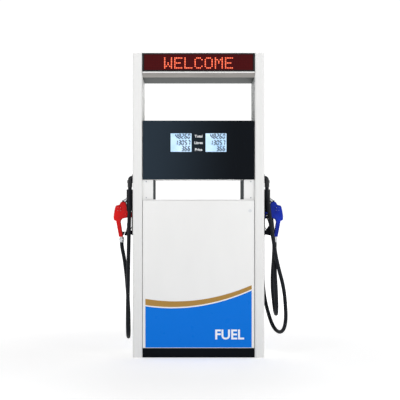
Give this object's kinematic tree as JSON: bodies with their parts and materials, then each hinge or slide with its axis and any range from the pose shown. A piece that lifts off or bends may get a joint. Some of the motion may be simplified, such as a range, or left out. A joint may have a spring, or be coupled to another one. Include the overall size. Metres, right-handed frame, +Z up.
{
  "type": "fuel dispenser",
  "caption": "Two-hose island fuel dispenser: white cabinet between columns, dark display head with readouts, lit sign, side-hung nozzles.",
  "frame": {"origin": "centre of the anchor bolt pattern, on the ground", "axes": "+Z up, -Y the front face, +X to the right seen from the front"},
  "size_m": [1.2775, 0.44, 2.2],
  "materials": {
    "white_paint": "white powder coat, satin",
    "black_paint": "black powder coat",
    "black_plastic": "moulded black plastic",
    "red_acrylic": "dark red tinted acrylic",
    "black_glass": "black back-printed glass",
    "readout": "light blue backlit readout",
    "circuit_board": "green solder mask",
    "zinc_steel": "zinc plated steel",
    "lock_chrome": "chrome",
    "motor_paint": "grey-blue enamel",
    "cast_paint": "painted cast iron",
    "meter_alloy": "bare aluminium",
    "valve_brass": "machined brass",
    "pulser_plastic": "dark grey plastic",
    "black_fitting": "black coated fitting",
    "belt_rubber": "ribbed rubber",
    "hose_rubber": "smooth black rubber",
    "nozzle_red": "red vinyl coated",
    "nozzle_blue": "blue vinyl coated"
  },
  "bodies": {
    "root": {"base_frame": "black_paint", "left_column": "white_paint", "right_column": "white_paint", "column_caps": "white_paint", "left_neck_post": "white_paint", "right_neck_post": "white_paint", "cabinet_roof": "white_paint", "sign_housing": "white_paint", "sign_bezels": "black_plastic", "sign_windows": "red_acrylic", "sign_led_boards": "circuit_board", "display_housing": "white_paint", "main_board": "circuit_board", "hinge_pins": "zinc_steel", "door_strikes": "zinc_steel", "motor": "motor_paint", "drive_belt": "belt_rubber", "pump_unit": "cast_paint", "inlet_pipe": "cast_paint", "manifold": "zinc_steel", "meter_rail": "zinc_steel", "flow_meters": "meter_alloy", "meter_pulsers": "pulser_plastic", "solenoid_valves": "valve_brass", "delivery_pipes": "zinc_steel", "junction_box": "motor_paint", "outlet_elbows": "black_fitting", "left_hose": "hose_rubber", "right_hose": "hose_rubber", "left_boot": "black_paint", "right_boot": "black_paint", "hose_hook": "black_paint", "panel_screws": "zinc_steel"},
    "front_door_body": {"front_door": "white_paint"},
    "rear_door_body": {"rear_door": "white_paint"},
    "front_lock_body": {"front_door_lock": "lock_chrome"},
    "rear_lock_body": {"rear_door_lock": "lock_chrome"},
    "front_display_body": {"front_display_door": "black_paint", "front_display_glass": "black_glass", "front_lcd_modules": "readout"},
    "rear_display_body": {"rear_display_door": "black_paint", "rear_display_glass": "black_glass", "rear_lcd_modules": "readout"},
    "pump_rotor": {"pump_shaft": "zinc_steel", "pump_pulley": "cast_paint"},
    "motor_rotor": {"motor_shaft": "zinc_steel", "motor_pulley": "cast_paint"},
    "left_nozzle": {"left_nozzle_body": "nozzle_red", "left_spout": "meter_alloy", "left_trigger_guard": "black_plastic"},
    "left_trigger_body": {"left_trigger": "black_plastic"},
    "left_swivel_body": {"left_swivel": "lock_chrome"},
    "left_lever_body": {"left_boot_lever": "zinc_steel"},
    "right_nozzle": {"right_nozzle_body": "nozzle_blue", "right_spout": "meter_alloy", "right_trigger_guard": "black_plastic"},
    "right_trigger_body": {"right_trigger": "black_plastic"},
    "right_swivel_body": {"right_swivel": "lock_chrome"},
    "right_lever_body": {"right_boot_lever": "zinc_steel"}
  },
  "joints": [
    {"name": "front_door_swing", "type": "hinge", "parent": "root", "child": "front_door_body", "pos_m": [-0.396, -0.192, 0.6], "axis": [0, 0, -1], "range_deg": [0, 95]},
    {"name": "rear_door_swing", "type": "hinge", "parent": "root", "child": "rear_door_body", "pos_m": [0.396, 0.192, 0.6], "axis": [0, 0, -1], "range_deg": [0, 95]},
    {"name": "front_door_lock_turn", "type": "hinge", "parent": "front_door_body", "child": "front_lock_body", "pos_m": [0.372, -0.18, 1.06], "axis": [0, 1, 0], "range_deg": [0, 90]},
    {"name": "rear_door_lock_turn", "type": "hinge", "parent": "rear_door_body", "child": "rear_lock_body", "pos_m": [-0.372, 0.18, 1.06], "axis": [0, -1, 0], "range_deg": [0, 90]},
    {"name": "front_display_swing", "type": "hinge", "parent": "root", "child": "front_display_body", "pos_m": [0, -0.195, 1.704], "axis": [-1, 0, 0], "range_deg": [0, 75]},
    {"name": "rear_display_swing", "type": "hinge", "parent": "root", "child": "rear_display_body", "pos_m": [0, 0.195, 1.704], "axis": [1, 0, 0], "range_deg": [0, 75]},
    {"name": "pump_spin", "type": "hinge", "parent": "root", "child": "pump_rotor", "pos_m": [-0.02, -0.14, 0.29], "axis": [0, 1, 0], "continuous": true},
    {"name": "motor_spin", "type": "hinge", "parent": "root", "child": "motor_rotor", "pos_m": [0.23, -0.14, 0.235], "axis": [0, 1, 0], "continuous": true},
    {"name": "left_nozzle_draw", "type": "slide", "parent": "root", "child": "left_nozzle", "axis": [-0.9781, 0, 0.2079], "range_m": [0, 0.15]},
    {"name": "left_trigger_pull", "type": "hinge", "parent": "left_nozzle", "child": "left_trigger_body", "pos_m": [-0.502, -0.06, 1.024], "axis": [0, 1, 0], "range_deg": [0, 14], "stiffness_Nm_per_rad": 0.6, "springref_deg": -8.59},
    {"name": "left_swivel_turn", "type": "hinge", "parent": "left_nozzle", "child": "left_swivel_body", "pos_m": [-0.563, -0.06, 0.85], "axis": [0, 0, 1], "continuous": true},
    {"name": "left_boot_lever_swing", "type": "hinge", "parent": "root", "child": "left_lever_body", "pos_m": [-0.4845, -0.06, 1.19], "axis": [0, 1, 0], "range_deg": [0, 20]},
    {"name": "right_nozzle_draw", "type": "slide", "parent": "root", "child": "right_nozzle", "axis": [0.9781, 0, 0.2079], "range_m": [0, 0.15]},
    {"name": "right_trigger_pull", "type": "hinge", "parent": "right_nozzle", "child": "right_trigger_body", "pos_m": [0.502, -0.06, 1.024], "axis": [0, -1, 0], "range_deg": [0, 14], "stiffness_Nm_per_rad": 0.6, "springref_deg": -8.59},
    {"name": "right_swivel_turn", "type": "hinge", "parent": "right_nozzle", "child": "right_swivel_body", "pos_m": [0.563, -0.06, 0.85], "axis": [0, 0, 1], "continuous": true},
    {"name": "right_boot_lever_swing", "type": "hinge", "parent": "root", "child": "right_lever_body", "pos_m": [0.4845, -0.06, 1.19], "axis": [0, -1, 0], "range_deg": [0, 20]}
  ],
  "couplings": [
    {"joint": "motor_spin", "follows": "pump_spin", "ratio": 2.4286},
    {"joint": "left_boot_lever_swing", "follows": "left_nozzle_draw", "rad_per_m": 2.3271},
    {"joint": "right_boot_lever_swing", "follows": "right_nozzle_draw", "rad_per_m": 2.3271}
  ]
}
